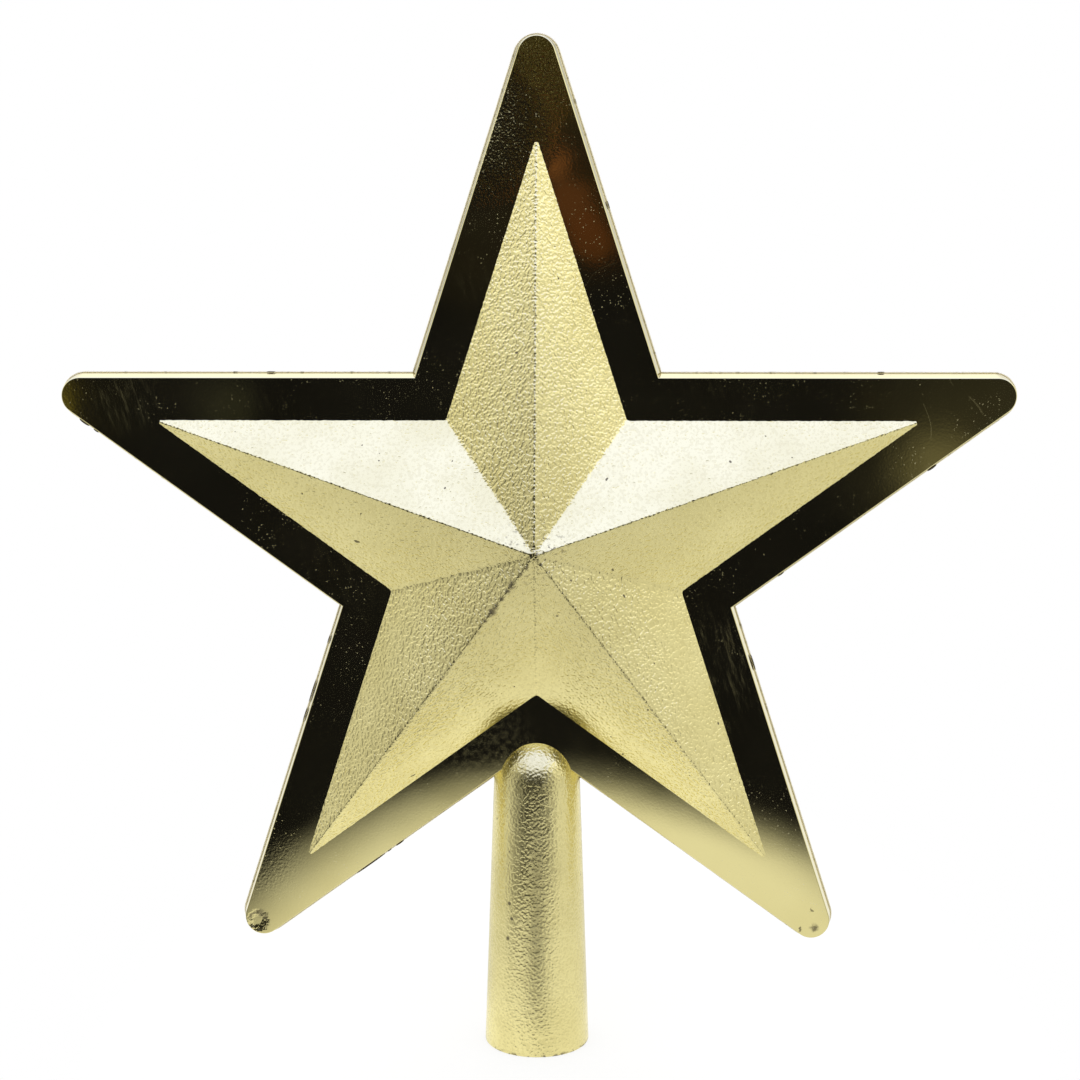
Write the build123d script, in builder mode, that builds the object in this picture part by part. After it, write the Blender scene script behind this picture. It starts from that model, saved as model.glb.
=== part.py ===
from build123d import *
import os
from math import atan, cos, degrees, radians, sin, tan

# Star: two like half mouldings, whose flat rims meet in the plane Y = 0
arm_count = 5
star_height = 102.1        # star's centre above the socket's mouth
star_radius = 78.0         # centre to the points of the raised, faceted star
peak_height = 17.5         # raised star's peak above the flat border
band_width = 8.3           # flat border, square to the raised star's edges
half_thickness = 4.5       # border's face to the plane where the halves meet
rim_flare = 1.1            # how far the rim widens from the face to that plane
tip_rounding = 4.7         # rounding of the outline's points in that plane
least_rounding = 0.4       # smallest rounding of the same points inside the hollow
wall = 1.6                 # wall of each half

# Lip and rebate that line up the two rims, each half a wall wide
lip_height = 1.2
lip_clearance = 0.1

# Pins and bosses inside the star
pin_radius = 1.5
pin_reach = 4.0            # pin's length inside the hole that it enters
pin_root = 2.0             # pin's length inside its own boss
pin_chamfer = 0.4
pin_inset = 33.0           # pins in from the raised star's points
boss_radius = 3.0
hole_clearance = 0.1       # round the pins
hole_spare_depth = 0.6

# Socket: one-piece tapered tube with a domed top
mouth_radius = 10.5
mouth_wall = 1.6
mouth_chamfer = 0.5
socket_taper = 2.0         # degrees a side
grip_length = 10.0         # straight bore at the mouth
dome_seat = 1.9            # dome's top above the star's lower notch
dome_wall = 1.6
socket_clearance = 0.1     # between the halves and the socket

# Tang: flat tongue on the dome, trapped between the halves on two of their pins
tang_length = 24.0         # above the dome
tang_shoulder = 1.1        # tang's edge in from the dome's
tang_rounding = 3.0
tang_face_gap = 0.4        # tang to the border's inner faces
tang_boss_gap = 0.15       # tang to the bosses that face it
tang_pin_spread = 4.2      # pins each side of the tang's middle
tang_pin_drop = 8.0        # pins below the tang's end

# A straight-sided star: each edge runs on in line with the next arm but one
arm_angle = 360 / arm_count
edge_share = cos(radians(arm_angle))
notch_ratio = edge_share / cos(radians(arm_angle / 2))
star_plane = Plane((0, 0, star_height), x_dir=(1, 0, 0), z_dir=(0, -1, 0))

# Outlines, as distances outside the raised star's edges
rim_growth = band_width + rim_flare
hollow_growth = rim_growth - wall
lip_width = (wall - lip_clearance) / 2
lip_growth = hollow_growth + lip_width
rim_taper = degrees(atan(rim_flare / half_thickness))

# The hollow follows the border and the facets at one wall's thickness
hollow_depth = half_thickness - wall
facet_angle = atan(peak_height / (star_radius * edge_share))
hollow_peak = peak_height + wall - wall / cos(facet_angle)
hollow_star_radius = star_radius * hollow_peak / peak_height


def grown_radius(growth):
    """Point radius of the outline that lies this far outside the raised star's edges."""
    return star_radius + growth / edge_share


def star_corners(point_radius):
    """Corners of a star, point and notch in turn, from the top point."""
    corners = []
    for step in range(2 * arm_count):
        radius = point_radius if step % 2 == 0 else point_radius * notch_ratio
        angle = radians(step * arm_angle / 2)
        corners.append((radius * sin(angle), radius * cos(angle)))
    return corners


def rounded_star(growth):
    """Outline with its points rounded about the same centres as the rim's."""
    rounding = max(tip_rounding - (rim_growth - growth), least_rounding)
    with BuildSketch() as outline:
        with BuildLine():
            Polyline(*star_corners(grown_radius(growth)), close=True)
        make_face()
        fillet(outline.vertices().group_by(SortBy.DISTANCE)[-1], rounding)
    return outline.sketch


def half_ring(outer_growth, inner_growth, side, gap):
    """Ring between two outlines, on one side of the star's upright middle line."""
    reach = grown_radius(outer_growth)
    with BuildSketch() as ring:
        add(rounded_star(outer_growth))
        add(rounded_star(inner_growth), mode=Mode.SUBTRACT)
        with Locations((side * (gap + reach / 2), 0)):
            Rectangle(reach, 2 * reach, mode=Mode.INTERSECT)
    return ring.sketch


def faceted_star(point_radius, peak):
    """Flat facets that rise from a star's edges to one peak, on its own base plane."""
    corners = star_corners(point_radius)
    run = point_radius * edge_share
    with BuildPart() as arm:
        with BuildSketch():
            with BuildLine():
                Polyline((0, 0), corners[-1], corners[0], corners[1], close=True)
            make_face()
        extrude(amount=peak)
        for side in (-1, 1):
            slant = (side * sin(radians(arm_angle)) * peak, cos(radians(arm_angle)) * peak, run)
            split(bisect_by=Plane((0, 0, peak), z_dir=slant), keep=Keep.BOTTOM)
    with BuildPart() as star:
        with PolarLocations(0, arm_count):
            add(arm.part)
    return star.part


# Socket's levels above its mouth, and the domes that close its flank and its bore smoothly
notch_level = star_height - grown_radius(rim_growth) * notch_ratio
taper = radians(socket_taper)
dome_growth = cos(taper) / (1 - sin(taper))
dome_top = notch_level + dome_seat
dome_radius = (mouth_radius - dome_top * tan(taper)) * dome_growth
bore_radius = mouth_radius - mouth_wall
bore_top = dome_top - dome_wall
bore_dome_radius = (bore_radius - (bore_top - grip_length) * tan(taper)) * dome_growth
tang_width = 2 * (dome_radius - tang_shoulder)
tang_thickness = 2 * (hollow_depth - tang_face_gap)


def dome_profile(level, radius, top):
    """Flank from a level up, the dome that it runs into, and the axis down to the mouth."""
    centre = top - radius
    start = (radius / cos(taper) + (centre - level) * tan(taper), level)
    flank = Line(start, (radius * cos(taper), centre + radius * sin(taper)))
    crown = JernArc(flank @ 1, flank % 1, radius, 90 - socket_taper)
    Line(crown @ 1, (0, 0))
    return start


def socket_body(clearance):
    """Socket without its bore, or with a clearance the room that it takes in the halves."""
    with BuildPart() as body:
        with BuildSketch(Plane.XZ):
            with BuildLine():
                mouth_corner = dome_profile(0, dome_radius + clearance, dome_top + clearance)
                Line((0, 0), mouth_corner)
            make_face()
        revolve(axis=Axis.Z)
        with BuildSketch(Plane.XZ):
            with Locations((0, dome_top - dome_radius)):
                Rectangle(
                    tang_width + 2 * clearance,
                    dome_radius + tang_length + clearance,
                    align=(Align.CENTER, Align.MIN),
                )
        extrude(amount=tang_thickness / 2 + clearance, both=True)
    return body.part


# Pins stand in the arms on the +X side and holes in those on the -X side, so two like halves join
pin_circle = star_radius - pin_inset
arm_turns = [radians(turn * arm_angle) for turn in range(1, (arm_count + 1) // 2)]
pin_places = [(pin_circle * sin(turn), pin_circle * cos(turn)) for turn in arm_turns]
hole_places = [(-across, up) for across, up in pin_places]
tang_pin_level = dome_top + tang_length - tang_pin_drop
tang_pin_place = (tang_pin_spread, tang_pin_level - star_height)
tang_hole_place = (-tang_pin_spread, tang_pin_level - star_height)
tang_gap = tang_thickness / 2 + tang_boss_gap
hole_radius = pin_radius + hole_clearance
hole_depth = pin_reach + hole_spare_depth

# Hollow inside one half, which goes round the bosses
with BuildPart() as hollow:
    with BuildSketch(star_plane):
        add(rounded_star(hollow_growth))
    extrude(amount=hollow_depth, taper=rim_taper)
    with Locations(star_plane.offset(hollow_depth)):
        add(faceted_star(hollow_star_radius, hollow_peak))
    with BuildSketch(star_plane):
        with Locations(*pin_places, *hole_places):
            Circle(boss_radius)
    extrude(amount=half_thickness + peak_height, mode=Mode.SUBTRACT)
    with BuildSketch(star_plane.offset(tang_gap)):
        with Locations(tang_pin_place, tang_hole_place):
            Circle(boss_radius)
    extrude(amount=half_thickness + peak_height, mode=Mode.SUBTRACT)

# Front half: flared rim and flat border under the faceted star
with BuildPart() as front_shell:
    with BuildSketch(star_plane):
        add(rounded_star(rim_growth))
    extrude(amount=half_thickness, taper=rim_taper)
    with Locations(star_plane.offset(half_thickness)):
        add(faceted_star(star_radius, peak_height))
    add(hollow.part, mode=Mode.SUBTRACT)
    # Lip on one side of the rim, rebate on the other
    with BuildSketch(star_plane):
        add(half_ring(lip_growth, hollow_growth, 1, lip_clearance))
    extrude(amount=-lip_height)
    with BuildSketch(star_plane):
        add(half_ring(lip_growth + lip_clearance, hollow_growth - lip_width, -1, 0))
    extrude(amount=lip_height + lip_clearance, mode=Mode.SUBTRACT)
    add(socket_body(socket_clearance), mode=Mode.SUBTRACT)
    # Pins, and the holes for the other half's pins
    with BuildSketch(star_plane.offset(pin_root)):
        with Locations(*pin_places):
            Circle(pin_radius)
    extrude(amount=-pin_root - pin_reach)
    with BuildSketch(star_plane.offset(tang_gap + pin_root)):
        with Locations(tang_pin_place):
            Circle(pin_radius)
    extrude(amount=-pin_root - 2 * tang_gap - pin_reach)
    round_edges = front_shell.edges().filter_by(GeomType.CIRCLE)
    chamfer(round_edges.filter_by_position(Axis.Y, pin_reach, tang_gap + pin_reach), pin_chamfer)
    with BuildSketch(star_plane):
        with Locations(*hole_places):
            Circle(hole_radius)
    extrude(amount=hole_depth, mode=Mode.SUBTRACT)
    with BuildSketch(star_plane.offset(tang_gap)):
        with Locations(tang_hole_place):
            Circle(hole_radius)
    extrude(amount=hole_depth, mode=Mode.SUBTRACT)

# Rear half: the same moulding, turned half a turn about the upright axis
with BuildPart() as rear_shell:
    add(front_shell.part, rotation=(0, 0, 180))

# Socket: closed tapered tube, straight inside its mouth, with a hole for each pin in its tang
with BuildPart() as socket:
    add(socket_body(0))
    with BuildSketch(Plane.XZ):
        with BuildLine():
            Polyline((0, 0), (bore_radius, 0), (bore_radius, grip_length))
            dome_profile(grip_length, bore_dome_radius, bore_top)
        make_face()
    revolve(axis=Axis.Z, mode=Mode.SUBTRACT)
    with BuildSketch(Plane.XZ):
        with Locations((tang_pin_spread, tang_pin_level), (-tang_pin_spread, tang_pin_level)):
            Circle(hole_radius)
    extrude(amount=tang_thickness, both=True, mode=Mode.SUBTRACT)
    tang_corners = socket.edges().filter_by(Axis.Y).group_by(Axis.Z)[-1]
    fillet(tang_corners, tang_rounding)
    mouth_circles = socket.edges().filter_by(GeomType.CIRCLE).group_by(Axis.Z)[0]
    chamfer(mouth_circles.sort_by(SortBy.RADIUS)[-1], mouth_chamfer)

# Each piece is its own solid in its own file
os.makedirs("parts", exist_ok=True)
for label, piece in (("front_shell", front_shell), ("rear_shell", rear_shell), ("socket", socket)):
    piece.part.label = label
    export_step(piece.part, f"parts/{label}.step")
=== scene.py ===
from math import atan2, cos, hypot, pi, radians, sin, tan
import bmesh
import bpy
from mathutils import Matrix, Vector


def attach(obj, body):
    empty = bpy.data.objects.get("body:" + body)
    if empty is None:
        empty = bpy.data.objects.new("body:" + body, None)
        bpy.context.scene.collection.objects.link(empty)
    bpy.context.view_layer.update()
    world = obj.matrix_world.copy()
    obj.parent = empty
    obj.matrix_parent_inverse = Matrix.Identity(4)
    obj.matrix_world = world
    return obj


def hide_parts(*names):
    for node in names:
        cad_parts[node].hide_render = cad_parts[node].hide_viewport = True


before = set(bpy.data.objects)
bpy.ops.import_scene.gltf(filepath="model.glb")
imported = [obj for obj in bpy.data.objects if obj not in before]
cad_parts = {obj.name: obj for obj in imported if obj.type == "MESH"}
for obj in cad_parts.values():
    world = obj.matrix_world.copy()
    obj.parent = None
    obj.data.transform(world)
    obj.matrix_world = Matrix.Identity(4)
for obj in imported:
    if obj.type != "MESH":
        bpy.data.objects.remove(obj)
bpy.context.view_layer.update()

mm = 0.001
hair = 0.01 * mm       # slack when points are picked by their place
mergeGap = 0.02 * mm
arms = 5
armTurn = radians(72)

# the star as the solids have it, drawn face on with its centre at 0,0
star = {
    "centreHeight": 102.1 * mm,
    "pointRadius": 78.0 * mm,   # raised star's points
    "peak": 17.5 * mm,
    "borderWidth": 8.3 * mm,
    "halfThickness": 4.5 * mm,
    "rimFlare": 1.1 * mm,
    "tipRounding": 4.7 * mm,
}
edgeRun = star["pointRadius"] * cos(armTurn)   # centre to an edge of the raised star, square to it
rimGrowth = star["borderWidth"] + star["rimFlare"]
peakOut = star["halfThickness"] + star["peak"]   # seam to the peak


def leaveEdit():
    if bpy.context.mode != "OBJECT":
        bpy.ops.object.mode_set(mode="OBJECT")


def selectNone():
    leaveEdit()
    bpy.ops.object.select_all(action="DESELECT")


def onlyThis(piece):
    selectNone()
    piece.select_set(True)
    bpy.context.view_layer.objects.active = piece


def startPiece(name):
    piece = bpy.context.active_object
    piece.name = name
    piece.data.name = name
    bpy.ops.object.transform_apply(location=True, rotation=True, scale=True)
    bpy.ops.object.mode_set(mode="EDIT")
    return piece


def pick(piece, kind, test):
    bpy.ops.mesh.select_mode(type=kind)
    bpy.ops.mesh.select_all(action="DESELECT")
    mesh = bmesh.from_edit_mesh(piece.data)
    for bit in {"VERT": mesh.verts, "EDGE": mesh.edges, "FACE": mesh.faces}[kind]:
        if test(bit):
            bit.select_set(True)
    mesh.select_flush_mode()
    bmesh.update_edit_mesh(piece.data)


def weigh(weight):
    bpy.context.tool_settings.vertex_group_weight = weight
    bpy.ops.object.vertex_group_assign()


def spinArms():
    bpy.ops.mesh.select_all(action="SELECT")
    bpy.ops.mesh.spin(
        steps=arms - 1, dupli=True, angle=armTurn * (arms - 1), center=(0, 0, 0), axis=(0, 0, 1))
    bpy.ops.mesh.select_all(action="SELECT")
    bpy.ops.mesh.remove_doubles(threshold=mergeGap)


def roughen(piece, texture, height, group=""):
    onlyThis(piece)
    press = piece.modifiers.new("grain", "DISPLACE")
    press.texture = texture
    press.texture_coords = "LOCAL"
    press.mid_level = 0.5
    press.strength = height
    press.vertex_group = group
    bpy.ops.object.modifier_apply(modifier="grain")


def standUp(piece, halfTurn):
    # from the drawing to the upright star: the front looks along -Y, the rear along +Y
    onlyThis(piece)
    turn = Matrix.Rotation(pi if halfTurn else 0, 4, "Z")
    lift = Matrix.Translation((0, 0, star["centreHeight"]))
    piece.matrix_world = turn @ lift @ Matrix.Rotation(pi / 2, 4, "X")
    bpy.context.view_layer.update()
    bpy.ops.object.transform_apply(location=True, rotation=True, scale=True)


def keepPiece(piece, material, node):
    piece.data.materials.clear()
    piece.data.materials.append(material)
    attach(piece, "root")
    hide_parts(node)


def wire(tree, socket, value):
    if isinstance(value, tuple):
        socket.default_value = (*value, 1)
    elif isinstance(value, (int, float)):
        socket.default_value = value
    else:
        tree.links.new(value, socket)


def newMaterial(name):
    material = bpy.data.materials.new(name)
    material.use_nodes = True
    shader = material.node_tree.nodes["Principled BSDF"]
    shader.inputs["Metallic"].default_value = 1.0
    return material, material.node_tree, shader


def objectPlace(tree):
    return tree.nodes.new("ShaderNodeTexCoord").outputs["Object"]


def axesOf(tree, vector):
    split = tree.nodes.new("ShaderNodeSeparateXYZ")
    wire(tree, split.inputs[0], vector)
    return split.outputs


def maths(tree, operation, first, second=0.0):
    node = tree.nodes.new("ShaderNodeMath")
    node.operation = operation
    wire(tree, node.inputs[0], first)
    wire(tree, node.inputs[1], second)
    return node.outputs["Value"]


def times(tree, first, second):
    return maths(tree, "MULTIPLY", first, second)


def most(tree, first, second):
    return maths(tree, "MAXIMUM", first, second)


def less(tree, first, second):
    return maths(tree, "SUBTRACT", first, second)


def unsigned(tree, value):
    return maths(tree, "ABSOLUTE", value)


def between(tree, value, low, high, toLow=0.0, toHigh=1.0, smooth=True):
    step = tree.nodes.new("ShaderNodeMapRange")
    step.interpolation_type = "SMOOTHSTEP" if smooth else "LINEAR"
    names = ("Value", "From Min", "From Max", "To Min", "To Max")
    for name, number in zip(names, (value, low, high, toLow, toHigh)):
        wire(tree, step.inputs[name], number)
    return step.outputs["Result"]


def noiseAt(tree, place, scale, detail=2.0, rough=0.5):
    noise = tree.nodes.new("ShaderNodeTexNoise")
    noise.inputs["Scale"].default_value = scale
    noise.inputs["Detail"].default_value = detail
    noise.inputs["Roughness"].default_value = rough
    wire(tree, noise.inputs["Vector"], place)
    return noise.outputs["Fac"]


def cloudsAt(tree, place, scale, detail, low, high, toLow=0.0, toHigh=1.0, rough=0.5):
    # the looks below list these numbers in the same order
    return between(tree, noiseAt(tree, place, scale, detail, rough), low, high, toLow, toHigh)


def specks(tree, place, scale, sizes):
    cells = tree.nodes.new("ShaderNodeTexVoronoi")
    cells.inputs["Scale"].default_value = scale
    wire(tree, cells.inputs["Vector"], place)
    chance = tree.nodes.new("ShaderNodeSeparateColor")
    wire(tree, chance.inputs[0], cells.outputs["Color"])
    # half of the cells stay at the first size
    size = between(tree, chance.outputs[0], 0.5, 1.0, *sizes, False)
    return maths(tree, "LESS_THAN", cells.outputs["Distance"], size)


def tint(tree, share, first, second):
    mix = tree.nodes.new("ShaderNodeMix")
    mix.data_type = "RGBA"
    wire(tree, mix.inputs[0], share)
    wire(tree, mix.inputs["A"], first)
    wire(tree, mix.inputs["B"], second)
    return mix.outputs["Result"]


def stretched(tree, place, size, turn=(0, 0, 0), shift=(0, 0, 0)):
    mapping = tree.nodes.new("ShaderNodeMapping")
    mapping.vector_type = "TEXTURE"   # turned first, then stretched
    mapping.inputs["Location"].default_value = shift
    mapping.inputs["Rotation"].default_value = turn
    mapping.inputs["Scale"].default_value = size
    wire(tree, mapping.inputs["Vector"], place)
    return mapping.outputs["Vector"]


def farFrom(tree, place, centre):
    apart = tree.nodes.new("ShaderNodeVectorMath")
    apart.operation = "DISTANCE"
    wire(tree, apart.inputs[0], place)
    apart.inputs[1].default_value = centre
    return apart.outputs["Value"]


def patchAt(tree, place, centre, near, far):
    # 1 inside near, fading to 0 at far
    return between(tree, farFrom(tree, place, centre), far, near)


def bumpFrom(tree, height, strength, distance, under=None):
    bump = tree.nodes.new("ShaderNodeBump")
    bump.inputs["Distance"].default_value = distance
    wire(tree, bump.inputs["Strength"], strength)
    wire(tree, bump.inputs["Height"], height)
    if under is not None:
        wire(tree, bump.inputs["Normal"], under)
    return bump.outputs["Normal"]


plating = {
    "gold": (0.80, 0.72, 0.34),
    "olive": (0.73, 0.65, 0.29),
    "satin": (0.84, 0.756, 0.357),   # facets and socket
    "satinOlive": (0.77, 0.685, 0.305),
    "rubbedAndShade": (0.38, 0.34, 0.16),    # painted shade towards the facets' peak, also the socket's rubbed patches
    "hollow": (0.60, 0.52, 0.22),    # painted shade between the pebbles of the grain
    "worn": (0.22, 0.19, 0.10),
    "dust": (0.66, 0.62, 0.48),
}

# what the facets' and the socket's grain share
grainLook = {
    "pebbles": (0.6, 0.34, 0.66, 0.0, 1.0, 0.45),   # from the detail on
    "mottle": (60, 3.0, 0.35, 0.7),
    "hollow": (0.45, 0.0, 0.0, 0.28),               # how much painted shade the hollows get
    "pits": (850, 0.0, 0.14, 0.12),
    "satin": (260, 2.0, 0.3, 0.7),
    "roughSpread": 0.07,
    "wornRough": 0.5,
    "fine": (3200, 1.0),
    "fineStrength": 0.5,
    "fineDepth": 0.03 * mm,
}


def makeGrainGold(name, look, marks):
    material, tree, shader = newMaterial(name)
    place = objectPlace(tree)
    pebbles = cloudsAt(tree, place, 1 / look["grain"], *grainLook["pebbles"])
    mottle = cloudsAt(tree, place, *grainLook["mottle"])
    spots, rubbedAndShade, strength = marks(tree, place)
    colour = tint(tree, mottle, plating["satin"], plating["satinOlive"])
    # painted shade towards the facets' peak, and the socket's rubbed patches, darken the colour
    colour = tint(tree, rubbedAndShade, colour, plating["rubbedAndShade"])
    # painted shade in the grain's hollows, following the bump's pebble height
    colour = tint(tree, between(tree, pebbles, *grainLook["hollow"]), colour, plating["hollow"])
    worn = most(tree, cloudsAt(tree, place, *grainLook["pits"]), spots)
    wire(tree, shader.inputs["Base Color"], tint(tree, worn, colour, plating["worn"]))
    rough = look["rough"]
    satin = cloudsAt(tree, place, *grainLook["satin"], rough, rough + grainLook["roughSpread"])
    wire(tree, shader.inputs["Roughness"], most(tree, satin, times(tree, worn, grainLook["wornRough"])))
    relief = bumpFrom(tree, pebbles, strength, look["depth"])
    fine = noiseAt(tree, place, *grainLook["fine"])
    relief = bumpFrom(tree, fine, grainLook["fineStrength"], grainLook["fineDepth"], relief)
    wire(tree, shader.inputs["Normal"], relief)
    return material


facetLook = {
    "grain": 0.56 * mm,
    "depth": 0.062 * mm,
    "rough": 0.10,
    # cracked plating round the two peaks
    "crackReach": (1 * mm, 11 * mm),
    "cracks": (1300, 2.0, 0.57, 0.68),
    # chips along the front's lower left ridge: out from the peak and size in mm
    "chips": (
        (2.5, 0.7), (4.5, 0.8), (7.1, 1.4), (8.5, 1.0),
        (10.5, 0.8), (12.4, 1.0), (13.8, 1.5), (16, 0.8),
    ),
    "chipArm": 3,
    "chipReach": (0.25, 0.95),      # in sizes
    "chipBreaks": (1500, 1.0, 0.3, 0.5),
    # painted shade: darker from the seam out to the peaks, less where the facets face up
    "rubbedAndShade": 0.42,
    "peakShadeOut": (7 * mm, 21 * mm),
    "peakShadeFacing": (0.5, 0.3),
    # share of the grain that is lost at the foot, and round the lower notch
    "calm": (0.1, 0.85),
    "calmOut": (11.5 * mm, 6 * mm),
    "notch": (0, 0, 68 * mm),
    "notchReach": (22 * mm, 42 * mm),
    "notchDepth": (1, 100, 1),      # stretched so far through the star that only across and up count
}


def facetMarks(tree, place):
    cracked = 0.0
    for along in (-peakOut, peakOut):
        peak = (0, along, star["centreHeight"])
        cracked = most(tree, patchAt(tree, place, peak, *facetLook["crackReach"]), cracked)
    found = times(tree, cracked, cloudsAt(tree, place, *facetLook["cracks"]))
    breaks = cloudsAt(tree, place, *facetLook["chipBreaks"])
    ridge = facetLook["chipArm"] * armTurn
    for reach, size in facetLook["chips"]:
        run = reach * mm
        along = star["peak"] * run / star["pointRadius"] - peakOut
        middle = (run * sin(ridge), along, star["centreHeight"] + run * cos(ridge))
        chip = patchAt(tree, place, middle, *[share * size * mm for share in facetLook["chipReach"]])
        found = most(tree, found, times(tree, chip, breaks))
    out = unsigned(tree, axesOf(tree, place)["Y"])
    facing = axesOf(tree, tree.nodes.new("ShaderNodeNewGeometry").outputs["Normal"])["Z"]
    # painted shade, darker out towards the peaks and less on facets that face up
    rubbedAndShade = between(tree, out, *facetLook["peakShadeOut"], 0.0, facetLook["rubbedAndShade"], False)
    rubbedAndShade = times(tree, rubbedAndShade, between(tree, facing, *facetLook["peakShadeFacing"]))
    throughStar = stretched(tree, place, facetLook["notchDepth"])
    notch = patchAt(tree, throughStar, facetLook["notch"], *facetLook["notchReach"])
    calm = between(tree, notch, 0.0, 1.0, *facetLook["calm"], False)
    calm = times(tree, between(tree, out, *facetLook["calmOut"]), calm)
    return found, rubbedAndShade, less(tree, 1.0, calm)


socketLook = {
    "grain": 0.55 * mm,
    "depth": 0.036 * mm,
    "rough": 0.2,
    # chipped plating round the mouth
    "chips": (900, 2.0, 0.5, 0.6),
    "chipsUp": (0.9 * mm, 0.2 * mm),
    # three pits beside the middle: across, along and up in mm
    "pits": ((-5.3, -7.8, 30.8), (-4.8, -8.2, 27.8), (-5.6, -7.9, 23.7)),
    "pitReach": (0.2 * mm, 0.55 * mm),
    "rubbedAndShade": (90, 1.0, 0.4, 0.7, 0.0, 0.12),
}


def socketMarks(tree, place):
    low = between(tree, axesOf(tree, place)["Z"], *socketLook["chipsUp"])
    found = times(tree, cloudsAt(tree, place, *socketLook["chips"]), low)
    for across, along, up in socketLook["pits"]:
        middle = (across * mm, along * mm, up * mm)
        found = most(tree, found, patchAt(tree, place, middle, *socketLook["pitReach"]))
    return found, cloudsAt(tree, place, *socketLook["rubbedAndShade"]), 1.0


# places on the border: across, up, full reach and faded reach in mm
mirrorLook = {
    "mottle": (40, 3.0, 0.35, 0.7),
    "haze": (45, 3.0, 0.35, 0.75, 0.03, 0.07),
    "film": 0.055,                  # how much the streaks and scratches hide
    # dust that lies in places
    "dust": (70, 1.0, 0.42, 0.62, 0.0, 0.26),
    "dustSpecks": (700, (0.0, 0.10)),
    "fineDust": (110, 2.0, 0.48, 0.66, 0.0, 0.24),
    "fineSpecks": (1900, (0.05, 0.3)),
    # grey wiped streaks and a smudge
    "streakSize": (0.7 * mm, 0.7 * mm, 5 * mm),
    "streakLean": (0, radians(-18), 0),
    "streaks": (1.0, 4.0, 0.48, 0.75, 0.0, 1.0, 0.7),
    "wiped": (38, 1.0, 0.54, 0.68, 0.0, 0.2),
    "wipedAt": ((34.5, 77.0, 5, 16), (-80.0, 131.0, 1, 9)),
    "smudge": (900, 4.0, 0.4, 0.72, 0.0, 1.0, 0.6),
    "smudgeAt": (-10.5, 61.5, 2, 14),
    # hair scratches, cut into short arcs
    "scratchPath": (85, 0.5),
    "scratchWidth": (0.006, 0.002),
    "scratched": (120, 0.0, 0.64, 0.7, 0.0, 0.3),
    "scratchedAt": (80, 126, 4, 13),
    "scratchArcs": (210, 0.0, 0.48, 0.56),
    # orange peel near the edges, with glints
    "peel": (2300, 1.5),
    "peelDepth": 0.08 * mm,
    "peelAt": (-12.5, 182, 4, 19),
    "topPeelAt": (-1, 191, 3, 14),
    "topPeel": 0.2,
    "lowPeelAt": (-57, 40, 3, 14),
    "lowPeel": (0.015, 0.14),
    "glints": (1700, (0.05, 0.32)),
    "glintsFrom": (0.05, 0.45),
    "glintRough": 0.34,
    # slow waves of the moulding
    "waves": (90, 1.0),
    "waveDepth": 0.02 * mm,
}

# left on two tips by the plating jig: across, up and reach in mm
scars = {
    "spots": (
        (-55.3, 27.3, 1.0), (-54.5, 26.7, 0.8), (-57.4, 26.4, 0.6),
        (55.4, 25.2, 0.9), (54.9, 28.8, 0.4), (52.6, 24.9, 0.4),
    ),
    "spotReach": (0.15, 1.3),
    "ring": (-55.9, 25.8, 1.7),
    "ringWidth": (0.5 * mm, 0.1 * mm),
    "ringBreaks": (700, 1.0, 0.42, 0.6),
    "dent": (0.7 * mm, 2.4 * mm),   # inside the ring
    "dentDepth": 0.18 * mm,
    "wobble": 1.6 * mm,
    "wobbleScale": 1100,
    "darkness": 0.85,
    "rough": 0.35,
}


def onBorder(across, up):
    return across * mm, -star["halfThickness"], up * mm


def borderPatch(tree, place, across, up, near, far):
    return patchAt(tree, place, onBorder(across, up), near * mm, far * mm)


def dustOn(tree, place):
    coarse = specks(tree, place, *mirrorLook["dustSpecks"])
    coarse = times(tree, coarse, cloudsAt(tree, place, *mirrorLook["dust"]))
    fine = specks(tree, place, *mirrorLook["fineSpecks"])
    fine = times(tree, fine, cloudsAt(tree, place, *mirrorLook["fineDust"]))
    return most(tree, coarse, fine)


def wipedOn(tree, place):
    here = cloudsAt(tree, place, *mirrorLook["wiped"])
    for spot in mirrorLook["wipedAt"]:
        here = most(tree, here, borderPatch(tree, place, *spot))
    lines = stretched(tree, place, mirrorLook["streakSize"], mirrorLook["streakLean"])
    streaks = times(tree, cloudsAt(tree, lines, *mirrorLook["streaks"]), here)
    smudge = borderPatch(tree, place, *mirrorLook["smudgeAt"])
    return most(tree, streaks, times(tree, smudge, cloudsAt(tree, place, *mirrorLook["smudge"])))


def scratchesOn(tree, place):
    offPath = unsigned(tree, less(tree, noiseAt(tree, place, *mirrorLook["scratchPath"]), 0.5))
    here = cloudsAt(tree, place, *mirrorLook["scratched"])
    here = most(tree, borderPatch(tree, place, *mirrorLook["scratchedAt"]), here)
    scratch = times(tree, between(tree, offPath, *mirrorLook["scratchWidth"]), here)
    return times(tree, scratch, cloudsAt(tree, place, *mirrorLook["scratchArcs"]))


def raggedPlace(tree, place):
    # the place moved a little to and fro, for uneven edges
    reach = scars["wobble"]
    wobble = tree.nodes.new("ShaderNodeTexNoise")
    wobble.inputs["Scale"].default_value = scars["wobbleScale"]
    wire(tree, wobble.inputs["Vector"], place)
    moved = tree.nodes.new("ShaderNodeVectorMath")
    moved.operation = "MULTIPLY_ADD"
    wire(tree, moved.inputs[0], wobble.outputs["Color"])
    moved.inputs[1].default_value = (reach, 0, reach)
    wire(tree, moved.inputs[2], stretched(tree, place, (1, 1, 1), shift=(reach / 2, 0, reach / 2)))
    return moved.outputs[0]


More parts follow.
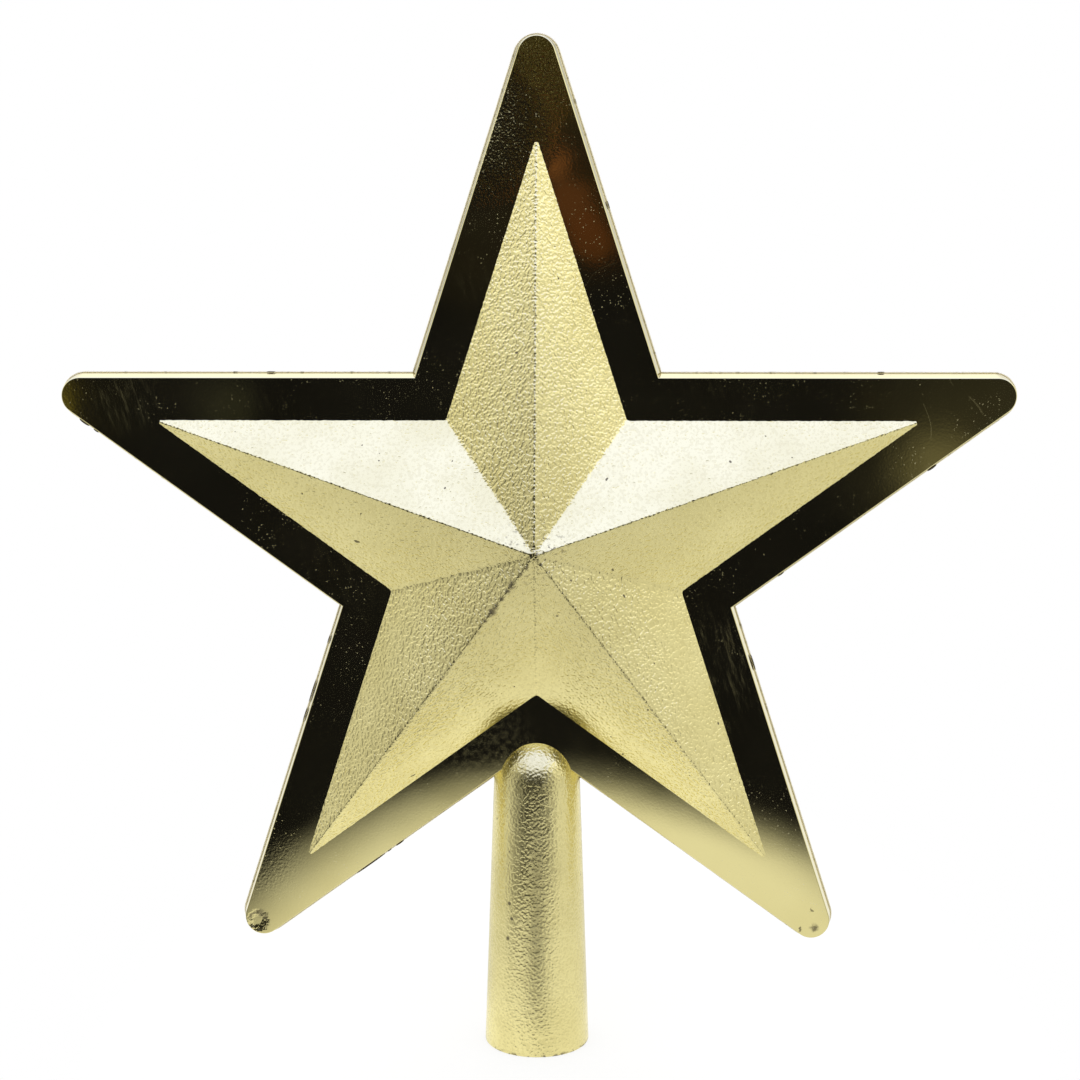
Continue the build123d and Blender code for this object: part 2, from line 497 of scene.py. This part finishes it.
def scarsOn(tree, place):
    ragged = raggedPlace(tree, place)
    ringAcross, ringUp, ringReach = scars["ring"]
    out = farFrom(tree, ragged, onBorder(ringAcross, ringUp))
    offRing = unsigned(tree, less(tree, out, ringReach * mm))
    scar = between(tree, offRing, *scars["ringWidth"])
    scar = times(tree, scar, cloudsAt(tree, place, *scars["ringBreaks"]))
    near, far = scars["spotReach"]
    for across, up, reach in scars["spots"]:
        scar = most(tree, borderPatch(tree, ragged, across, up, near * reach, far * reach), scar)
    return scar, between(tree, out, *scars["dent"])


def makeMirrorGold():
    material, tree, shader = newMaterial("mirrorGold")
    place = objectPlace(tree)
    dust = dustOn(tree, place)
    scar, dent = scarsOn(tree, place)
    colour = tint(tree, cloudsAt(tree, place, *mirrorLook["mottle"]), plating["gold"], plating["olive"])
    colour = tint(tree, times(tree, scar, scars["darkness"]), colour, plating["worn"])
    wire(tree, shader.inputs["Base Color"], tint(tree, dust, colour, plating["dust"]))
    film = times(tree, most(tree, wipedOn(tree, place), scratchesOn(tree, place)), mirrorLook["film"])
    wire(tree, shader.inputs["Metallic"], less(tree, 1.0, most(tree, dust, film)))
    topPeel = times(tree, borderPatch(tree, place, *mirrorLook["topPeelAt"]), mirrorLook["topPeel"])
    peelHere = most(tree, borderPatch(tree, place, *mirrorLook["peelAt"]), topPeel)
    lowPeel = borderPatch(tree, place, *mirrorLook["lowPeelAt"])
    glints = between(tree, most(tree, peelHere, lowPeel), *mirrorLook["glintsFrom"])
    glints = times(tree, specks(tree, place, *mirrorLook["glints"]), glints)
    rough = most(tree, times(tree, glints, mirrorLook["glintRough"]), times(tree, scar, scars["rough"]))
    haze = cloudsAt(tree, place, *mirrorLook["haze"])
    wire(tree, shader.inputs["Roughness"], most(tree, haze, rough))
    relief = bumpFrom(tree, noiseAt(tree, place, *mirrorLook["waves"]), 1.0, mirrorLook["waveDepth"])
    relief = bumpFrom(tree, dent, 1.0, scars["dentDepth"], relief)
    peelHere = most(tree, peelHere, between(tree, lowPeel, 0.0, 1.0, *mirrorLook["lowPeel"]))
    peel = noiseAt(tree, place, *mirrorLook["peel"])
    wire(tree, shader.inputs["Normal"], bumpFrom(tree, peel, peelHere, mirrorLook["peelDepth"], relief))
    return material


dullLook = {
    # colour, roughness, how metallic
    "weld": ((0.80, 0.74, 0.55), 0.4, 0.3),
    # near black: painted shade of the gaps along the seam
    "flashShade": ((0.12, 0.10, 0.06), 0.5, 0.8),
    "patches": (600, 3.0, 0.57, 0.8),
    "roughSpread": 0.2,
    "relief": (2400, 2.0),
    "reliefStrength": 0.6,
    "reliefDepth": 0.08 * mm,
}


def makeDullGold(name, colour, rough, plated):
    material, tree, shader = newMaterial(name)
    shader.inputs["Metallic"].default_value = plated
    place = objectPlace(tree)
    patches = cloudsAt(tree, place, *dullLook["patches"])
    wire(tree, shader.inputs["Base Color"], tint(tree, patches, colour, plating["worn"]))
    rough = between(tree, patches, 0.0, 1.0, rough, rough + dullLook["roughSpread"])
    wire(tree, shader.inputs["Roughness"], rough)
    relief = noiseAt(tree, place, *dullLook["relief"])
    relief = bumpFrom(tree, relief, dullLook["reliefStrength"], dullLook["reliefDepth"])
    wire(tree, shader.inputs["Normal"], relief)
    return material


facetGold = makeGrainGold("facetGold", facetLook, facetMarks)
socketGold = makeGrainGold("socketGold", socketLook, socketMarks)
mirrorGold = makeMirrorGold()
weldGold = makeDullGold("weldGold", *dullLook["weld"])
flashShadeGold = makeDullGold("flashShadeGold", *dullLook["flashShade"])
print("materials made")

pebbleRelief = bpy.data.textures.new("pebbleRelief", "CLOUDS")   # pressed into the facets and the socket
pebbleRelief.noise_type = "SOFT_NOISE"
pebbleRelief.noise_basis = "IMPROVED_PERLIN"
pebbleRelief.noise_scale = 0.66 * mm
pebbleRelief.noise_depth = 0
weldRelief = bpy.data.textures.new("weldRelief", "CLOUDS")
weldRelief.noise_scale = 2.2 * mm
weldRelief.noise_depth = 2


def drawStar(name, growth, rounding, arcSteps):
    # one arm's outline from its tip's arc, then five times round, left as one face in edit mode
    outer = star["pointRadius"] + growth / cos(armTurn)
    notch = outer * cos(armTurn) / cos(armTurn / 2)
    half = armTurn / 4   # half of a point's angle
    arcCentre = outer - rounding / sin(half)
    selectNone()
    bpy.ops.mesh.primitive_circle_add(vertices=arcSteps * arms, radius=rounding, location=(0, arcCentre, 0))
    piece = startPiece(name)
    away = rounding * sin(half) - hair
    pick(piece, "VERT", lambda v: v.co.y - arcCentre < away)
    bpy.ops.mesh.delete(type="VERT")
    for side in (-1, 1):
        corner = Vector((side * notch * sin(armTurn / 2), notch * cos(armTurn / 2), 0))
        end = Vector((side * rounding * cos(half), arcCentre + rounding * sin(half), 0))
        pick(piece, "VERT", lambda v: (v.co - end).length < 5 * hair)
        bpy.ops.mesh.extrude_vertices_move(TRANSFORM_OT_translate={"value": corner - end})
    bpy.ops.mesh.extrude_vertices_move(TRANSFORM_OT_translate={"value": -corner})
    bpy.ops.mesh.select_all(action="SELECT")
    bpy.ops.mesh.edge_face_add()
    spinArms()
    bpy.ops.mesh.dissolve_limited(angle_limit=radians(1), use_dissolve_boundaries=False)
    bpy.ops.mesh.normals_make_consistent(inside=False)
    if bmesh.from_edit_mesh(piece.data).faces[:][0].normal.z < 0:
        bpy.ops.mesh.flip_normals()
    return piece


rim = {
    "arcSteps": 24,
    "edgeRounding": 0.16 * mm,
    "seamStep": 0.30 * mm,      # rim's edge in from the weld's
    "seamRounding": 0.14 * mm,
    "smoothTo": radians(25),
}


def makeRim(name, halfTurn):
    step = rim["seamStep"]
    piece = drawStar(name, rimGrowth - step, star["tipRounding"] - step, rim["arcSteps"])
    pick(piece, "FACE", lambda f: True)
    bpy.ops.mesh.inset(thickness=star["rimFlare"] - step, depth=star["halfThickness"], use_boundary=True)
    pick(piece, "EDGE", lambda e: e.is_boundary)
    bpy.ops.mesh.edge_face_add()
    top = star["halfThickness"] - hair
    pick(piece, "EDGE", lambda e: all(v.co.z > top for v in e.verts))
    bpy.ops.mesh.bevel(offset=rim["edgeRounding"], segments=4, affect="EDGES", clamp_overlap=False)
    pick(piece, "EDGE", lambda e: all(v.co.z < hair for v in e.verts))
    bpy.ops.mesh.bevel(offset=rim["seamRounding"], segments=2, affect="EDGES", clamp_overlap=False)
    bpy.ops.mesh.select_all(action="SELECT")
    bpy.ops.mesh.normals_make_consistent(inside=False)
    leaveEdit()
    bpy.ops.object.shade_smooth_by_angle(angle=rim["smoothTo"])
    piece.modifiers.new("flatFaces", "WEIGHTED_NORMAL").keep_sharp = True   # the border stays a flat mirror
    bpy.ops.object.modifier_apply(modifier="flatFaces")
    standUp(piece, halfTurn)
    return piece


facet = {
    "spacing": 0.33 * mm,
    "sink": 0.7 * mm,           # how far the facets run on under the border's face
    "foot": 0.8 * mm,
    "blunt": 2.85 * mm,         # cut off the points, which run on under the border too
    "cutGap": 1e-7,
    "ridgeSoftness": 0.4 * mm,
    "ridgePasses": 2,
    "valleySoftness": 1.3 * mm,
    "valleyPasses": 10,
    "grainHeight": 0.13 * mm,
    # calmer near the border: height above its face in mm, share of the grain below it
    "calm": ((6, 0.9), (5, 0.8), (4, 0.65), (3, 0.5), (2, 0.35), (1, 0.2)),
    "calmAt": (0, -34 * mm),    # mostly round the lower notch
    "calmReach": 38 * mm,
    "calmElsewhere": 0.85,      # least share away from it
    "smoothTo": radians(75),
}


def makeFacets(name, halfTurn):
    # one facet's grid cut to its triangle and tilted, mirrored, then five times round
    slant = hypot(edgeRun, star["peak"])
    grow = 1 + facet["sink"] / slant
    slope = atan2(star["peak"], edgeRun)
    tip = Vector((edgeRun * tan(armTurn) * grow, 0, 0))
    notch = Vector((edgeRun * tan(armTurn / 2) * grow, 0, 0))
    apex = Vector((0, -slant * grow, 0))
    wide, deep = tip.x, -apex.y
    selectNone()
    bpy.ops.mesh.primitive_grid_add(
        x_subdivisions=round(wide / facet["spacing"]), y_subdivisions=round(deep / facet["spacing"]),
        size=1, location=(wide / 2, -deep / 2, 0))
    bpy.context.active_object.scale = (wide, deep, 1)
    piece = startPiece(name)
    ridge, valley = apex - tip, notch - apex
    inward = ridge.normalized()
    cuts = (
        (tip, (ridge.y, -ridge.x, 0)),
        (apex, (valley.y, -valley.x, 0)),
        (tip + inward * facet["blunt"], inward),
    )
    for through, kept in cuts:
        bpy.ops.mesh.select_all(action="SELECT")
        bpy.ops.mesh.bisect(plane_co=through, plane_no=kept, clear_inner=True, threshold=facet["cutGap"])
    leaveEdit()
    foot = Matrix.Translation((0, edgeRun * grow, star["halfThickness"] - facet["sink"] * sin(slope)))
    piece.matrix_world = foot @ Matrix.Rotation(-slope, 4, "X")
    bpy.context.view_layer.update()
    bpy.ops.object.transform_apply(location=True, rotation=True)
    bpy.ops.object.mode_set(mode="EDIT")
    bpy.ops.mesh.select_all(action="SELECT")
    bpy.ops.mesh.duplicate()
    bpy.ops.transform.resize(value=(-1, 1, 1), center_override=(0, 0, 0))
    spinArms()
    bpy.ops.mesh.normals_make_consistent(inside=False)

    def offFold(v):
        turn = atan2(v.co.x, v.co.y) % armTurn   # ridges at 0, valleys half way
        fromRidge = min(turn, armTurn - turn)
        reach = hypot(v.co.x, v.co.y)
        return reach * sin(fromRidge), reach * sin(armTurn / 2 - fromRidge)

    pick(piece, "VERT", lambda v: offFold(v)[1] < facet["valleySoftness"])
    bpy.ops.mesh.vertices_smooth(factor=0.5, repeat=facet["valleyPasses"])
    pick(piece, "VERT", lambda v: offFold(v)[0] < facet["ridgeSoftness"])
    bpy.ops.mesh.vertices_smooth(factor=0.5, repeat=facet["ridgePasses"])
    bpy.ops.object.vertex_group_add()
    bpy.ops.mesh.select_all(action="SELECT")
    weigh(1.0)
    calmAt = Vector(facet["calmAt"])
    for above, share in facet["calm"]:
        low = star["halfThickness"] + above * mm
        pick(piece, "VERT", lambda v: v.co.z < low)
        weigh(max(share, facet["calmElsewhere"]))
        pick(piece, "VERT", lambda v: v.co.z < low and (v.co.xy - calmAt).length < facet["calmReach"])
        weigh(share)
    leaveEdit()
    roughen(piece, pebbleRelief, facet["grainHeight"], piece.vertex_groups[0].name)
    bpy.ops.object.mode_set(mode="EDIT")
    pick(piece, "EDGE", lambda e: e.is_boundary)
    bpy.ops.mesh.extrude_edges_move(TRANSFORM_OT_translate={"value": (0, 0, -facet["foot"])})
    bpy.ops.mesh.edge_face_add()
    leaveEdit()
    bpy.ops.object.shade_smooth_by_angle(angle=facet["smoothTo"])
    standUp(piece, halfTurn)
    return piece


weld = {
    "bead": 0.16 * mm,
    "sink": 0.21 * mm,
    "unevenness": 0.07 * mm,
    "longEdge": 5 * mm,         # longer ones, so all but the tips' arcs, are cut up
    "cuts": 110,
    # arm, its side, place along the edge in mm, length in mm, how far it stands out in mm
    "flecks": (
        (3, -1, 58.4, 2.0, 0.14), (3, -1, 61.0, 1.0, 0.08), (3, -1, 65.7, 7.4, 0.13), (3, 1, 31.5, 1.8, 0.07),
        (3, 1, 42.5, 5.0, 0.09), (3, 1, 47.5, 3.0, 0.08), (1, 1, 35.2, 1.5, 0.12), (1, 1, 71.1, 2.2, 0.24),
        (4, -1, 85.8, 2.4, 0.26), (4, -1, 83.0, 1.2, 0.16), (2, -1, 36.0, 3.5, 0.12), (2, 1, 33.5, 3.4, 0.2),
        (0, 1, 58.0, 1.6, 0.08), (1, -1, 66.8, 1.4, 0.08), (4, 1, 52.0, 1.8, 0.08),
    ),
    "fleckSink": 0.12 * mm,
    "fleckForward": 0.3 * mm,
    "fleckThickness": 0.11 * mm,    # half of it
}


def makeWeld():
    # thin bead in the groove between the two rims
    sink = weld["sink"]
    piece = drawStar("weldLine", rimGrowth - sink, star["tipRounding"] - sink, rim["arcSteps"])
    bpy.ops.mesh.select_all(action="SELECT")
    bpy.ops.mesh.delete(type="ONLY_FACE")
    pick(piece, "EDGE", lambda e: e.calc_length() > weld["longEdge"])
    bpy.ops.mesh.subdivide(number_cuts=weld["cuts"])
    leaveEdit()
    bpy.ops.object.convert(target="CURVE")
    piece = bpy.context.active_object
    piece.data.dimensions = "3D"
    piece.data.bevel_depth = weld["bead"]
    piece.data.bevel_resolution = 1
    bpy.ops.object.convert(target="MESH")
    piece = bpy.context.active_object
    roughen(piece, weldRelief, weld["unevenness"])
    bpy.ops.object.shade_smooth()
    standUp(piece, False)
    return piece


def makeFlashShade():
    # flakes of flash that stand out of the weld, near black as painted shade of the gaps along the seam
    selectNone()
    bpy.ops.mesh.primitive_plane_add(size=1 * mm)
    piece = startPiece("weldFlashShade")
    bpy.ops.mesh.select_all(action="SELECT")
    bpy.ops.mesh.delete(type="VERT")
    edge = (star["pointRadius"] + rimGrowth / cos(armTurn)) * cos(armTurn)
    forward = Vector((0, 0, weld["fleckForward"]))
    for arm, side, along, length, proud in weld["flecks"]:
        turn = armTurn * (arm + side)
        out = Vector((sin(turn), cos(turn), 0))
        run = Vector((-side * cos(turn), side * sin(turn), 0))   # from the notch to the tip
        bpy.ops.mesh.primitive_uv_sphere_add(
            segments=14, ring_count=7, radius=1,
            location=out * (edge - weld["fleckSink"]) + run * along * mm + forward,
            rotation=(0, 0, -turn), scale=(length * mm / 2, proud * mm, weld["fleckThickness"]))
    bpy.ops.mesh.select_all(action="SELECT")
    bpy.ops.mesh.normals_make_consistent(inside=False)
    leaveEdit()
    bpy.ops.object.shade_smooth()
    standUp(piece, False)
    return piece


tube = {
    "mouthRadius": 10.5 * mm,
    "taper": radians(2.0),
    "domeFoot": 54.0 * mm,
    "domeTop": 63.9 * mm,
    "domeFlat": 0.5 * mm,       # tiny flat in the dome's middle
    "boreTop": 60.99 * mm,
    "boreSteps": 7,             # of a quarter turn, the last one left flat
    "boreShoulder": 1.03,       # bore where its dome starts, in radii of the dome
    "wall": 1.6 * mm,
    "grip": 10.0 * mm,
    "mouthRounding": 0.45 * mm,
    "sides": 190,
    "rings": 150,
    "longEdge": 20 * mm,        # longer ones, so the flank's, are cut into rings
    "domeSteps": 36,
    "grainHeight": 0.06 * mm,
    "smoothTo": radians(60),
}


def makeSocket():
    # cone with its top bevelled to a dome, bored from the mouth
    slope = tan(tube["taper"])
    domeFoot = tube["domeFoot"]
    topRadius = tube["mouthRadius"] - domeFoot * slope
    height = domeFoot + topRadius
    selectNone()
    bpy.ops.mesh.primitive_cone_add(
        vertices=tube["sides"], radius1=tube["mouthRadius"], radius2=tube["mouthRadius"] - height * slope,
        depth=height, location=(0, 0, height / 2))
    piece = startPiece("socketTube")
    pick(piece, "EDGE", lambda e: all(v.co.z > height - hair for v in e.verts))
    bpy.ops.mesh.bevel(
        offset=topRadius - tube["domeFlat"], segments=tube["domeSteps"], affect="EDGES", clamp_overlap=False)
    pick(piece, "VERT", lambda v: v.co.z > domeFoot)
    stretch = (tube["domeTop"] - domeFoot) / topRadius
    bpy.ops.transform.resize(value=(1, 1, stretch), center_override=(0, 0, domeFoot))
    pick(piece, "EDGE", lambda e: abs(e.verts[0].co.z - e.verts[1].co.z) > tube["longEdge"])
    bpy.ops.mesh.subdivide(number_cuts=tube["rings"])
    pick(piece, "VERT", lambda v: v.co.z > hair)
    bpy.ops.object.vertex_group_add()
    weigh(1.0)
    pick(piece, "FACE", lambda f: f.normal.z < -0.9)   # mouth
    bpy.ops.mesh.inset(thickness=tube["wall"])
    bpy.ops.mesh.extrude_region_move(TRANSFORM_OT_translate={"value": (0, 0, tube["grip"])})
    radius = tube["mouthRadius"] - tube["wall"]
    endRadius = radius - (tube["boreTop"] - tube["grip"]) * slope
    # up the bore, then round its dome: how far up, radius there
    steps = [(tube["boreTop"] - endRadius - tube["grip"], endRadius * tube["boreShoulder"])]
    stepTurn = pi / 2 / tube["boreSteps"]
    for step in range(1, tube["boreSteps"]):
        turn = step * stepTurn
        steps.append((endRadius * (sin(turn) - sin(turn - stepTurn)), endRadius * cos(turn)))
    for up, reach in steps:
        bpy.ops.mesh.extrude_region_move(TRANSFORM_OT_translate={"value": (0, 0, up)})
        bpy.ops.transform.resize(value=(reach / radius, reach / radius, 1), center_override=(0, 0, 0))
        radius = reach

    def onMouth(e):
        reach = [v.co.xy.length for v in e.verts]
        return all(abs(v.co.z) < hair for v in e.verts) and abs(reach[0] - reach[1]) < 10 * hair

    pick(piece, "EDGE", onMouth)
    bpy.ops.mesh.bevel(offset=tube["mouthRounding"], segments=4, affect="EDGES", clamp_overlap=False)
    bpy.ops.mesh.select_all(action="SELECT")
    bpy.ops.mesh.normals_make_consistent(inside=False)
    leaveEdit()
    roughen(piece, pebbleRelief, tube["grainHeight"], piece.vertex_groups[0].name)
    bpy.ops.object.shade_smooth_by_angle(angle=tube["smoothTo"])
    return piece


for side, node, halfTurn in (("front", "front_shell", False), ("rear", "rear_shell", True)):
    keepPiece(makeRim(side + "Rim", halfTurn), mirrorGold, node)
    keepPiece(makeFacets(side + "Facets", halfTurn), facetGold, node)
    print(side, "half made")
keepPiece(makeWeld(), weldGold, "front_shell")
keepPiece(makeFlashShade(), flashShadeGold, "front_shell")
keepPiece(makeSocket(), socketGold, "socket")
print("weld and socket made")


paleFloor = {
    "reach": 0.31,
    "sides": 96,
    # oval that the floor fades round: half sizes and shift
    "half": (0.086, 0.22, 1),
    "shift": (0.006, 0, 0),
    "fade": (0.78, 1.18),
    # less of it in front on the right
    "slant": 1.22,
    "cut": (0.275, 0.197),
    "colour": (0.72, 0.72, 0.72),
    "glowShare": 0.7,
    "cameraGlow": 1.12,
    "mirrorGlow": (1.0, 0.98),      # in reflections, left and right
    "mirrorSides": (-0.06, 0.06),
    # dimmer in reflections in front of the socket
    "dim": 0.8,
    "dimHalf": (0.042, 0.085, 1),
    "dimShift": (0, -0.1, 0),
    "dimFade": (0.35, 1.0),
    # brighter round its foot
    "footGlow": 1.24,
    "footReach": (0.02, 0.045),
}


def mixOf(tree, share, first, second):
    mix = tree.nodes.new("ShaderNodeMixShader")
    for socket, value in zip(mix.inputs, (share, first, second)):
        wire(tree, socket, value)
    return mix.outputs[0]


def makeFloor():
    selectNone()
    bpy.ops.mesh.primitive_circle_add(
        vertices=paleFloor["sides"], radius=paleFloor["reach"], fill_type="NGON")
    floor = bpy.context.active_object
    floor.name = "floor"
    material, tree, shader = newMaterial("paleFloor")
    tree.nodes.remove(shader)
    place = objectPlace(tree)
    middle = (0, 0, 0)
    across, along = axesOf(tree, place)[:2]
    oval = stretched(tree, place, paleFloor["half"], shift=paleFloor["shift"])
    oval = patchAt(tree, oval, middle, *paleFloor["fade"])
    slant = less(tree, times(tree, across, paleFloor["slant"]), along)
    oval = times(tree, oval, between(tree, slant, *paleFloor["cut"]))
    under = tree.nodes.new("ShaderNodeNewGeometry").outputs["Backfacing"]   # clear from below
    paint = tree.nodes.new("ShaderNodeBsdfDiffuse")
    wire(tree, paint.inputs["Color"], paleFloor["colour"])
    dim = stretched(tree, place, paleFloor["dimHalf"], shift=paleFloor["dimShift"])
    dim = times(tree, patchAt(tree, dim, middle, *paleFloor["dimFade"]), paleFloor["dim"])
    mirrored = between(tree, across, *paleFloor["mirrorSides"], *paleFloor["mirrorGlow"])
    mirrored = times(tree, less(tree, 1.0, dim), mirrored)
    foot = patchAt(tree, place, middle, *paleFloor["footReach"])
    mirrored = times(tree, mirrored, between(tree, foot, 0, 1, 1.0, paleFloor["footGlow"], False))
    ray = tree.nodes.new("ShaderNodeLightPath").outputs
    strength = between(tree, ray["Is Camera Ray"], 0, 1, mirrored, paleFloor["cameraGlow"], False)
    glow = tree.nodes.new("ShaderNodeEmission")
    wire(tree, glow.inputs["Strength"], strength)
    seen = most(tree, ray["Is Camera Ray"], ray["Is Glossy Ray"])
    top = mixOf(tree, times(tree, seen, paleFloor["glowShare"]), paint.outputs[0], glow.outputs[0])
    clear = tree.nodes.new("ShaderNodeBsdfTransparent").outputs[0]
    surface = mixOf(tree, most(tree, under, less(tree, 1.0, oval)), top, clear)
    wire(tree, tree.nodes["Material Output"].inputs["Surface"], surface)
    floor.data.materials.append(material)


def angles(*degrees):
    return [radians(angle) for angle in degrees]


# turns are measured from the front, rises from level
room = {
    "dark": (0.008, 0.008, 0.011),
    "darkShift": radians(7),      # the dark lies a little to the left
    "darkBeside": angles(20, 42),
    "darkAbove": angles(11, 23),
    "darkBelow": angles(-25, -33),
    # faint lights in it, which the border shows: way, full reach, faded reach, colour
    "glimmers": (
        ((-0.055, -0.998, 0.035), 0.01, 0.05, (0.016, 0.014, 0.013)),
        ((0.0, -0.998, 0.05), 0.01, 0.05, (0.022, 0.015, 0.009)),
        ((0.007, -0.999, 0.032), 0.003, 0.015, (0.07, 0.028, 0.012)),
        ((0.0, -0.999, 0.043), 0.004, 0.017, (0.085, 0.031, 0.013)),
        ((-0.008, -0.998, 0.057), 0.004, 0.017, (0.085, 0.034, 0.016)),
        ((-0.016, -0.997, 0.076), 0.002, 0.014, (0.16, 0.064, 0.028)),
        ((0.21, -0.974, -0.08), 0.02, 0.09, (0.034, 0.032, 0.026)),
        ((0.188, -0.979, -0.086), 0.004, 0.034, (0.14, 0.13, 0.09)),
        ((0.0, -0.985, 0.16), 0.03, 0.09, (0.040, 0.031, 0.010)),
        ((-0.030, -0.995, 0.096), 0.003, 0.015, (0.13, 0.07, 0.028)),
        ((-0.023, -0.994, 0.106), 0.002, 0.011, (0.10, 0.055, 0.018)),
        ((-0.037, -0.991, 0.1355), 0.003, 0.009, (0.45, 0.43, 0.30)),
        ((-0.039, -0.991, 0.126), 0.002, 0.007, (0.26, 0.25, 0.15)),
        ((-0.19, -0.98, -0.052), 0.004, 0.025, (0.024, 0.025, 0.024)),
        ((-0.309, -0.949, -0.06), 0.025, 0.052, (0.25, 0.21, 0.04)),
    ),
    "walls": (0.80, 0.86),        # left, right
    "wallShift": radians(12),
    "wallTurn": angles(40, 72),
    "wallShare": (0.35, 1.0),     # at these turns
    "behind": 1.0,
    "behindTurn": angles(85, 130),
    # a smaller dim opening at the back, for the rear border
    "dimBehind": 0.85,
    "dimTurn": angles(158, 170),
    "dimRise": angles(24, 10),
    "below": 0.83,
    "lift": 0.75,                 # added up the walls
    "liftRise": angles(6, 37),
    "overhead": (1.19, 1.31, 2.38),
    "overheadRise": angles(23, 43),
    "overheadDrop": radians(8),   # lower in front
    "overheadTurn": angles(20, 55),
    "softLight": (1.2, 1.2, 1.2),   # what isn't mirrored
    "backdrop": (1, 1, 1),
}


def makeWorld():
    # bright all round and above, with the dark of the room in front
    world = bpy.data.worlds.new("studioWorld")
    bpy.context.scene.world = world
    world.use_nodes = True
    tree = world.node_tree
    way = tree.nodes.new("ShaderNodeTexCoord").outputs["Generated"]
    across, along, up = axesOf(tree, way)
    turn = maths(tree, "ARCTAN2", across, times(tree, along, -1))   # 0 in front, more to the right
    aside = unsigned(tree, turn)
    rise = maths(tree, "ARCSINE", up)

    def turnFrom(shift):
        return unsigned(tree, maths(tree, "ADD", turn, shift))

    beside = between(tree, turnFrom(room["darkShift"]), *room["darkBeside"])
    above = between(tree, rise, *room["darkAbove"])
    below = between(tree, rise, *room["darkBelow"])
    opened = most(tree, most(tree, beside, above), below)
    walls = between(tree, turnFrom(room["wallShift"]), *room["wallTurn"], *room["wallShare"])
    walls = times(tree, walls, between(tree, across, -1, 1, *room["walls"], False))
    behind = between(tree, aside, *room["behindTurn"], 0.0, room["behind"])
    level = most(tree, walls, most(tree, behind, times(tree, below, room["below"])))
    level = maths(tree, "ADD", level, between(tree, rise, *room["liftRise"], 0.0, room["lift"]))
    dimmed = between(tree, unsigned(tree, rise), *room["dimRise"], 0.0, room["dimBehind"])
    dimmed = times(tree, between(tree, aside, *room["dimTurn"]), dimmed)
    level = times(tree, level, less(tree, 1.0, dimmed))
    grey = tree.nodes.new("ShaderNodeCombineColor")
    for socket in grey.inputs:
        wire(tree, socket, level)
    drop = between(tree, aside, *room["overheadTurn"], room["overheadDrop"], 0.0)
    overhead = between(tree, maths(tree, "ADD", rise, drop), *room["overheadRise"])
    light = tint(tree, overhead, grey.outputs[0], room["overhead"])
    dark = room["dark"]
    for middle, near, faded, shade in room["glimmers"]:
        dark = tint(tree, patchAt(tree, way, middle, near, faded), dark, shade)
    ray = tree.nodes.new("ShaderNodeLightPath").outputs
    colour = tint(tree, opened, dark, light)
    colour = tint(tree, ray["Is Glossy Ray"], room["softLight"], colour)
    colour = tint(tree, ray["Is Camera Ray"], colour, room["backdrop"])
    back = tree.nodes["Background"]
    wire(tree, back.inputs["Color"], colour)
    back.inputs["Strength"].default_value = 1.0


view = {
    "place": (0.0091, -0.3621, 0.1481),
    "aim": (0.0006, 0.0, 0.1024),
    "lens": 61.67,
    "nearest": 0.01,
}


def makeCamera():
    data = bpy.data.cameras.new("camera")
    data.lens = view["lens"]
    data.clip_start = view["nearest"]
    camera = bpy.data.objects.new("camera", data)
    bpy.context.scene.collection.objects.link(camera)
    place, aim = Vector(view["place"]), Vector(view["aim"])
    camera.location = place
    camera.rotation_euler = (aim - place).to_track_quat("-Z", "Y").to_euler()
    bpy.context.scene.camera = camera


makeFloor()
makeWorld()
makeCamera()
bpy.context.scene.view_settings.view_transform = "Standard"
print("studio made")
